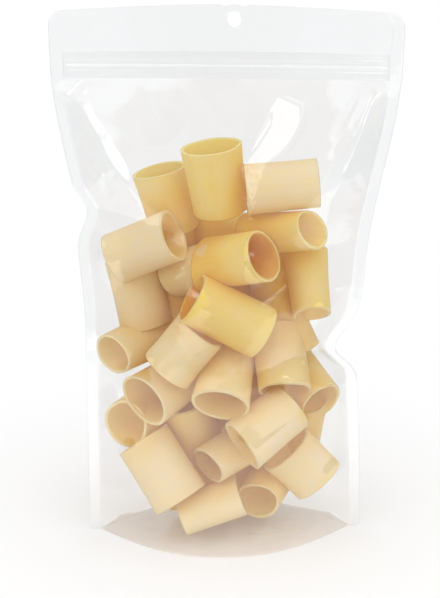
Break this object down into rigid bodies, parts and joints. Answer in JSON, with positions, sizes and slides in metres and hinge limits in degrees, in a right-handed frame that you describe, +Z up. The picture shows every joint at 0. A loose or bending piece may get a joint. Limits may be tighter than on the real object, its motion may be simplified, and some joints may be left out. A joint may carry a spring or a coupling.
{
  "type": "filled stand-up pouch",
  "caption": "Clear stand-up pouch with a press-to-close zip, a header with a hang hole and a boat-shaped base, filled with large pasta tubes.",
  "frame": {"origin": "on the surface that the pouch stands on, at the middle of its base", "axes": "+Z up towards the header, +Y towards the back, +X to the right seen from the front"},
  "size_m": [0.2, 0.0928, 0.318],
  "materials": {
    "filled_pouch": "pasta seen through glossy clear film",
    "zip_strip": "milky clear plastic profile",
    "clear_film": "clear glossy film, slightly hazy, with creases",
    "pasta": "dry durum wheat pasta, satin, pale at its rims"
  },
  "bodies": {
    "root": {"pouch": "filled_pouch", "zip": "zip_strip"}
  },
  "joints": []
}
